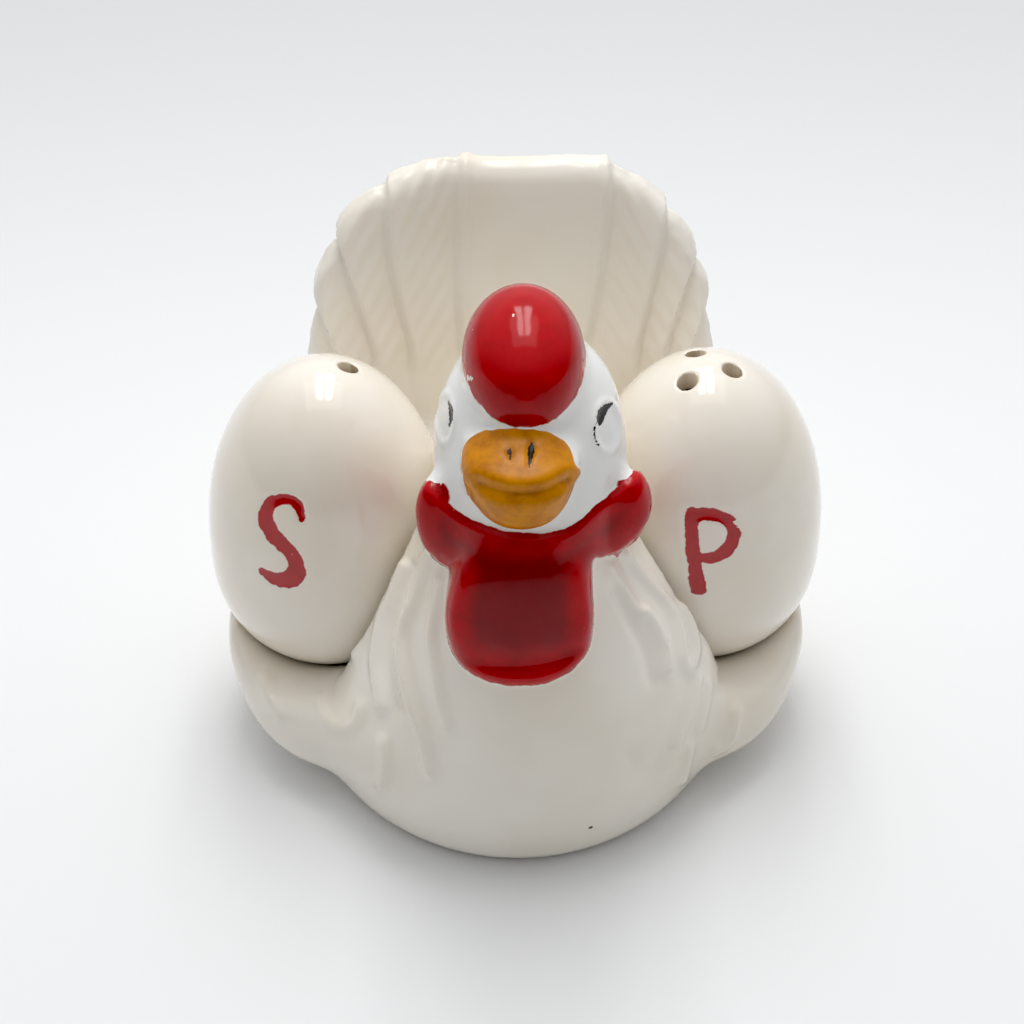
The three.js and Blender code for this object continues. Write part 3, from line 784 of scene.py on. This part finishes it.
def keep_egg_ways_clear(co):
    """Pushes the hen's surface out of the eggs' seats and of their way straight up."""
    for side in (-1, 1):
        x = co[:, 0] - side * EGG_PLACE
        y = co[:, 1]
        height = co[:, 2] - EGG_FOOT
        need = np.where(height > EGG_WIDEST, EGG_RADIUS, egg_radius(np.clip(height, 0, EGG_WIDEST)))
        need = np.where(height > 0.3, need + CUP_CLEARANCE * 0.6, 0.0)
        radius = np.maximum(1e-6, np.hypot(x, y))
        push = np.maximum(0.0, need - radius)
        co[:, 0] += x / radius * push
        co[:, 1] += y / radius * push
        under = (radius < EGG_FOOT_RADIUS + 1.0) & (height > -0.3) & (height < 4.0)
        co[:, 2] = np.where(under, EGG_FOOT - 0.3, co[:, 2])
    return co


def tail_relief(co, normal):
    """Overlapping feathers on both faces of the fan."""
    x, y, z = co.T
    rise = (z - TAIL_ROOT) / (TAIL_TOP - TAIL_ROOT)
    middle = TAIL_FRONT + TAIL_THICK / 2 + (z - TAIL_ROOT) * TAIL_LEAN
    middle -= TAIL_CURL * (x / TAIL_HALF_WIDTH) ** 2
    on_tail = smoothstep(0.28, 0.46, rise) * smoothstep(TAIL_THICK + 2, TAIL_THICK, np.abs(y - middle))
    on_tail *= smoothstep(0.1, 0.5, np.abs(normal[:, 1]) + 0.25)
    height = np.zeros(len(co))
    rim = np.zeros(len(co))
    for feathers, way in ((FEATHERS_LEFT, -1), (FEATHERS_RIGHT, 1)):
        lines = [
            through(list(zip(FEATHER_HEIGHTS, edge)), np.clip(z, 50.0, 100.0))[:, 0]
            for edge in feathers
        ]
        lines.append(way * np.full(len(co), 52.0))
        for order, (inner, outer) in enumerate(zip(lines, lines[1:])):
            share = (x - inner) / (outer - inner)
            inside = smoothstep(-0.07, 0.07, share) * smoothstep(1.07, 0.93, share)
            height += inside * (share - 0.5) * FEATHER_STEP
            barbs = np.sin((x * way * 0.95 + z * 0.6) * 1.7)
            height += inside * 0.17 * barbs * smoothstep(0.0, 0.3, share) * smoothstep(1.0, 0.7, share)
            if order:
                lobe = np.sqrt(1.0 - (2.0 * np.clip(share, 0.0, 1.0) - 1.0) ** 2)
                rim += inside * (lobe - 0.45) * SCALLOP
        past = (x - lines[0]) * way
        height += np.exp(-(past / 1.5) ** 2) * smoothstep(1.6, -0.8, past)
    for crest, spread in FAN_CRESTS:
        rim += CREST_RISE * np.exp(-((x - crest) / spread) ** 2)
    return height * on_tail, rim


def tail_outline(co, rim):
    """Rounds the ends of the feathers along the fan's outline."""
    across = co[:, 0] / TAIL_HALF_WIDTH
    up = (co[:, 2] - TAIL_ROOT) / (TAIL_TOP - TAIL_ROOT)
    angle = np.arctan2(across, np.maximum(up, 1e-3))
    share = np.hypot(across, up) / tail_reach(angle)
    near = smoothstep(0.80, 0.99, share) * smoothstep(0.25, 0.45, up) * (co[:, 1] > 20.0)
    co[:, 0] += np.sin(angle) * rim * near
    co[:, 2] += np.cos(angle) * rim * near
    return co


def hollow_hen(hen):
    """Cuts the slip-cast hollow, the foot recess and the vent."""
    bm = bmesh.new()
    loft(bm, body_rings(HOLLOW_WALL, FOOT_RECESS + FLOOR, 100.0)[::3], 56)
    pinch_breast(bm.verts)
    hollow = mesh_object("hollow", bm)
    co = points_of(hollow)
    co[:, 0] += HEAD_ASIDE * smoothstep(*NECK, co[:, 2])
    move_points(hollow, co)
    radius = EGG_RADIUS + CUP_CLEARANCE + HOLLOW_WALL
    low = EGG_FOOT - WALL
    for side in (-1, 1):
        place = side * EGG_PLACE
        carve(hollow, disc("column", (place, 0, low + 10.0), 20.0, (radius, radius), low_share=0.8))
        middle = low + 19.0 + LIFT_TOP / 2
        carve(hollow, disc("column", (place, 0, middle), LIFT_TOP, (radius, radius)))
    carve(hen, hollow)
    middle = (0, BODY_RINGS[0][1], 0)
    recess = (BODY_RINGS[1][2] - FOOT_RING, BODY_RINGS[1][3] - FOOT_RING)
    carve(hen, disc("recess", middle, 2 * FOOT_RECESS, recess, segments=96))
    carve(hen, disc("vent", middle, 4 * FLOOR, (VENT_RADIUS, VENT_RADIUS), segments=48))


def hollows(piece, rounds=10):
    """How far each point lies in a hollow, above 0, or on a ridge, below 0."""
    sharp = points_of(piece)
    relax(piece, 1.0, rounds)
    soft = points_of(piece)
    move_points(piece, sharp)
    return np.sum((soft - sharp) * normals_of(piece), axis=1)


def hen_holder():
    """The finished hen, with the gaps and shares that her glaze reads."""
    hen = hen_form()
    refine_face(hen)
    co, normal = points_of(hen), normals_of(hen)
    _, _, collar, beak = painted_outlines(co, normal)
    relief, rim = tail_relief(co, normal)
    relief += face_relief(co, normal, collar, beak) + breast_relief(co, normal)
    co += normal * relief[:, None]
    co = tail_outline(co, rim)
    move_points(hen, co)
    relax(hen, 1.0, 1, 0.4)
    move_points(hen, keep_egg_ways_clear(points_of(hen)))
    hollow_hen(hen)
    co, normal = points_of(hen), normals_of(hen)
    collar, beak, comb, black = paint_gaps(co, normal)
    keep_value(hen, "collar_gap", np.minimum(collar, 20.0))
    keep_value(hen, "beak_gap", np.minimum(beak, 20.0))
    keep_value(hen, "comb_gap", np.minimum(comb, 20.0))
    keep_value(hen, "black_gap", np.minimum(black, 20.0))
    keep_value(hen, "head_share", smoothstep(70.0, 84.0, co[:, 2]) * (co[:, 1] < 8.0))
    keep_value(hen, "glaze_edge", co[:, 2] - 0.6)
    # how hollow each point is; the glaze paints shade in hollows and highlights on ridges from it
    keep_value(hen, "hollow", hollows(hen) * smoothstep(3.0, 6.0, co[:, 2]))
    return hen


# ---------- glazes ----------

class Recipe:
    """A node material under construction."""

    def __init__(self, name):
        self.material = bpy.data.materials.new(name)
        self.material.use_nodes = True
        self.tree = self.material.node_tree
        self.shader = self.tree.nodes["Principled BSDF"]

    def node(self, kind, **settings):
        made = self.tree.nodes.new("ShaderNode" + kind)
        inputs = settings.pop("inputs", {})
        for key, value in settings.items():
            setattr(made, key, value)
        for key, value in inputs.items():
            self.feed(made.inputs[key], value)
        return made

    def feed(self, socket, value):
        if isinstance(value, bpy.types.NodeSocket):
            self.tree.links.new(value, socket)
        else:
            socket.default_value = value

    def set(self, **values):
        for key, value in values.items():
            self.feed(self.shader.inputs[key.replace("_", " ")], value)

    def place(self):
        return self.node("TexCoord").outputs["Object"]

    def noise(self, scale, detail=4.0, roughness=0.5, distortion=0.0):
        made = self.node("TexNoise", inputs={
            "Vector": self.place(), "Scale": scale, "Detail": detail,
            "Roughness": roughness, "Distortion": distortion})
        return made.outputs["Fac"]

    def value(self, name):
        return self.node("Attribute", attribute_name=name).outputs["Fac"]

    def math(self, operation, a, b=0.0):
        return self.node("Math", operation=operation, inputs={0: a, 1: b}).outputs[0]

    def band(self, value, low, high, out_low=0.0, out_high=1.0):
        made = self.node("MapRange", interpolation_type="SMOOTHSTEP", inputs={
            "Value": value, "From Min": low, "From Max": high, "To Min": out_low, "To Max": out_high})
        return made.outputs["Result"]

    def mix(self, share, a, b):
        made = self.node("Mix", data_type="RGBA")
        self.feed(made.inputs[0], share)
        self.feed(made.inputs[6], a)
        self.feed(made.inputs[7], b)
        return made.outputs[2]

    def bump(self, height, strength, distance):
        inputs = {"Height": height, "Strength": strength, "Distance": distance}
        return self.node("Bump", inputs=inputs).outputs["Normal"]


def shade(red, green, blue):
    """A linear colour from display values of 0 to 255."""
    def linear(level):
        level /= 255.0
        return level / 12.92 if level <= 0.04045 else ((level + 0.055) / 1.055) ** 2.4
    return (linear(red), linear(green), linear(blue), 1.0)


def egg_glaze():
    """Cream glaze with red brushed letters, and a bare foot."""
    glaze = Recipe("cream egg glaze")
    cloud = glaze.noise(38.0, 3.0)
    colour = glaze.mix(glaze.band(cloud, 0.35, 0.7), shade(247, 240, 229), shade(241, 232, 216))
    edge = glaze.band(glaze.noise(600.0, 3.0), 0.2, 0.8, -0.2, 0.25)
    gap = glaze.math("ADD", glaze.value("letter_gap"), edge)
    wear = glaze.band(glaze.noise(300.0, 4.0, 0.6), 0.635, 0.675)
    paint = glaze.math("MULTIPLY", glaze.band(gap, 0.12, -0.12), glaze.math("SUBTRACT", 1.0, wear))
    red = glaze.mix(glaze.noise(500.0, 3.0), shade(194, 4, 14), shade(160, 0, 6))
    colour = glaze.mix(paint, colour, red)
    bare = glaze.band(glaze.value("glaze_edge"), 0.3, -0.3)
    colour = glaze.mix(bare, colour, shade(224, 211, 190))
    waves = glaze.noise(55.0, 2.0)
    normal = glaze.bump(waves, 0.12, 0.001)
    rough = glaze.band(glaze.value("glaze_edge"), 0.3, -0.3, 0.1, 0.75)
    glaze.set(Base_Color=colour, Roughness=rough, Normal=normal, Coat_Weight=0.4, Coat_Roughness=0.04)
    return glaze.material


def hen_glaze():
    """White glaze, with red, yellow and black brushed over it, pinholes, a bare foot, painted shade in its
    hollows and painted highlights on its raised red.
    """
    glaze = Recipe("white hen glaze")
    cloud = glaze.noise(32.0, 3.0)
    cream = glaze.mix(glaze.band(cloud, 0.35, 0.7), shade(246, 241, 231), shade(241, 233, 219))
    head = glaze.value("head_share")
    colour = glaze.mix(head, cream, shade(243, 243, 240))
    hollow = glaze.value("hollow")
    # painted shade: the white glaze is tinted darker tan in hollows and creases
    colour = glaze.mix(glaze.band(hollow, 0.1, 0.9, 0.0, 0.3), colour, shade(222, 204, 174))
    edge = glaze.band(glaze.noise(420.0, 2.0), 0.2, 0.8, -0.16, 0.16)
    brush = glaze.noise(150.0, 5.0, 0.6, 0.6)
    red = glaze.mix(glaze.band(brush, 0.35, 0.65), shade(176, 1, 8), shade(146, 0, 3))
    # painted highlight: the red is lighter on ridges and raised parts
    red = glaze.mix(glaze.band(hollow, -0.5, 0.2), shade(204, 16, 26), red)
    ochre = glaze.band(glaze.noise(210.0, 5.0, 0.65), 0.35, 0.72)
    yellow = glaze.mix(ochre, shade(214, 138, 0), shade(176, 104, 0))
    # painted shade: the yellow is darker ochre in the beak's hollows and creases
    yellow = glaze.mix(glaze.band(hollow, 0.05, 0.45, 0.0, 0.8), yellow, shade(132, 74, 2))
    # painted shade: the sunk middle of the collar and wattle is painted dark red, fading out lower down where
    # the wattle's bulge faces up
    wattle_shade = glaze.band(glaze.value("collar_gap"), -2.6, -6.5, 0.0, 0.75)
    wattle_shade = glaze.math("MULTIPLY", wattle_shade, glaze.band(glaze.value("glaze_edge"), 53.0, 61.0))
    chips = glaze.band(glaze.noise(210.0, 3.0, 0.6), 0.705, 0.72)
    red = glaze.mix(chips, red, cream)
    collar = glaze.mix(wattle_shade, red, shade(112, 0, 2))
    for name, paint in (("collar_gap", collar), ("beak_gap", yellow), ("comb_gap", red)):
        gap = glaze.math("ADD", glaze.value(name), edge)
        colour = glaze.mix(glaze.band(gap, 0.1, -0.1), colour, paint)
    fine = glaze.band(glaze.noise(1500.0, 2.0), 0.2, 0.8, -0.12, 0.12)
    black = glaze.math("ADD", glaze.value("black_gap"), fine)
    colour = glaze.mix(glaze.band(black, 0.06, -0.06), colour, shade(22, 18, 16))
    specks = glaze.node("TexVoronoi", inputs={"Vector": glaze.place(), "Scale": 95.0, "Randomness": 1.0})
    keep = glaze.band(glaze.noise(60.0, 1.0), 0.60, 0.64)
    pin = glaze.math("MULTIPLY", glaze.band(specks.outputs["Distance"], 0.06, 0.03), keep)
    colour = glaze.mix(pin, colour, shade(84, 74, 62))
    bare = glaze.band(glaze.value("glaze_edge"), 0.3, -0.3)
    colour = glaze.mix(bare, colour, shade(226, 214, 194))
    waves = glaze.noise(60.0, 2.0)
    normal = glaze.bump(waves, 0.15, 0.001)
    rough = glaze.band(glaze.value("glaze_edge"), 0.3, -0.3, 0.12, 0.75)
    on_beak = glaze.band(glaze.value("beak_gap"), 0.1, -0.1, 0.0, 0.22)
    rough = glaze.math("ADD", rough, on_beak)
    glaze.set(Base_Color=colour, Roughness=rough, Normal=normal)
    glaze.shader.inputs["Specular IOR Level"].default_value = 0.32
    return glaze.material


def cork_bark():
    """Pressed cork with dark pores."""
    bark = Recipe("cork bark")
    grain = bark.noise(420.0, 6.0, 0.65)
    colour = bark.mix(bark.band(grain, 0.35, 0.65), shade(150, 104, 66), shade(206, 166, 120))
    pores = bark.node("TexVoronoi", inputs={"Vector": bark.place(), "Scale": 900.0}).outputs["Distance"]
    pit = bark.band(pores, 0.22, 0.08)
    colour = bark.mix(pit, colour, shade(92, 56, 32))
    normal = bark.bump(bark.math("SUBTRACT", grain, pit), 0.6, 0.0006)
    bark.set(Base_Color=colour, Roughness=0.85, Normal=normal)
    return bark.material


# ---------- studio ----------

def floor():
    """A wide sheet of pale paper, with painted shade making it a little darker behind the set."""
    bm = bmesh.new()
    bmesh.ops.create_grid(bm, x_segments=1, y_segments=1, size=3.0)
    sheet = mesh_object("floor", bm)
    paper = Recipe("pale paper")
    along = paper.node("SeparateXYZ", inputs={"Vector": paper.place()}).outputs["Y"]
    # painted shade: the paper's colour darkens further behind the set, where the light falls off
    paper.set(
        Base_Color=paper.mix(paper.band(along, 0.02, 0.34), shade(237, 238, 239), shade(206, 208, 209)),
        Roughness=0.7)
    paper.shader.inputs["Specular IOR Level"].default_value = 0.25
    sheet.data.materials.append(paper.material)


def room():
    """A pale room, brightest overhead and a little behind the set."""
    world = bpy.data.worlds.new("white room")
    bpy.context.scene.world = world
    world.use_nodes = True
    tree = world.node_tree
    sky = tree.nodes["Background"]
    way = tree.nodes.new("ShaderNodeTexCoord")
    lean = tree.nodes.new("ShaderNodeVectorMath")
    lean.operation = "DOT_PRODUCT"
    lean.inputs[1].default_value = (0.0, 0.40, 0.92)
    fade = tree.nodes.new("ShaderNodeMapRange")
    fade.interpolation_type = "SMOOTHSTEP"
    for key, value in (("From Min", -0.35), ("From Max", 0.95), ("To Min", 0.06), ("To Max", 0.78)):
        fade.inputs[key].default_value = value
    tree.links.new(way.outputs["Generated"], lean.inputs[0])
    tree.links.new(lean.outputs["Value"], fade.inputs["Value"])
    tree.links.new(fade.outputs["Result"], sky.inputs["Strength"])
    sky.inputs["Color"].default_value = (0.99, 0.995, 1.0, 1.0)


def panel(name, width, height, power, elevation, distance=0.9, aside=0.0):
    """A soft light, aimed at the set from behind at an elevation in degrees."""
    light = bpy.data.lights.new(name, "AREA")
    light.shape = "RECTANGLE"
    light.size = width
    light.size_y = height
    light.energy = power
    lamp = bpy.data.objects.new(name, light)
    bpy.context.scene.collection.objects.link(lamp)
    rise = math.radians(elevation)
    way = Vector((0, math.cos(rise), math.sin(rise)))
    target = Vector((0, 0, 0.05))
    lamp.rotation_mode = "QUATERNION"
    lamp.rotation_quaternion = way.to_track_quat("Z", "Y")
    lamp.location = target + way * distance + Vector((aside, 0, 0))


def studio():
    """The floor, the room and its lights."""
    floor()
    room()
    panel("left_window", 0.13, 0.72, 1.7, 66, aside=-0.085)
    panel("right_window", 0.13, 0.72, 1.7, 66, aside=0.085)
    panel("ceiling", 1.6, 1.6, 8.0, 78, distance=2.0)


def camera():
    """A long lens looking down at the hen's face."""
    look_down = math.radians(41.5)
    turn = Matrix.Rotation(math.radians(-1.5), 3, "Z")
    forward = turn @ Vector((0, math.cos(look_down), -math.sin(look_down)))
    up = turn @ Vector((0, math.sin(look_down), math.cos(look_down)))
    right = turn @ Vector((1, 0, 0))
    middle = Vector((0, EGG_AXIS_Y / TO_MM, 0.050))
    distance = 0.56
    place = middle - forward * distance - right * 0.0007 - up * 0.0029
    data = bpy.data.cameras.new("camera")
    data.sensor_width = 36.0
    data.lens = 98.44
    view = bpy.data.objects.new("camera", data)
    bpy.context.scene.collection.objects.link(view)
    view.matrix_world = Matrix.Translation(place) @ Matrix((right, up, -forward)).transposed().to_4x4()
    bpy.context.scene.camera = view


# ---------- the set ----------

camera()
studio()
tone = bpy.context.scene.view_settings
tone.view_transform = "Standard"
tone.use_curve_mapping = True
tone.curve_mapping.black_level = (0.011, 0.011, 0.011)
tone.curve_mapping.update()

cream = egg_glaze()
bark = cork_bark()
salt = egg_shell("salt_egg", -EGG_PLACE, [SALT_HOLE], [LETTER_S], S_TURN, S_HEIGHT)
pepper = egg_shell(
    "pepper_egg", EGG_PLACE, PEPPER_HOLES, [LETTER_P_STEM, LETTER_P_BOWL], P_TURN, P_HEIGHT)
finish_piece(salt, cream, "salt_egg", "salt_egg_shell")
finish_piece(pepper, cream, "pepper_egg", "pepper_egg_shell")
for name, place_x in (("salt", -EGG_PLACE), ("pepper", EGG_PLACE)):
    stopper = cork(name + "_cork", place_x)
    finish_piece(stopper, bark, name + "_stopper", name + "_stopper")
finish_piece(hen_holder(), hen_glaze(), "hen", "hen_holder")
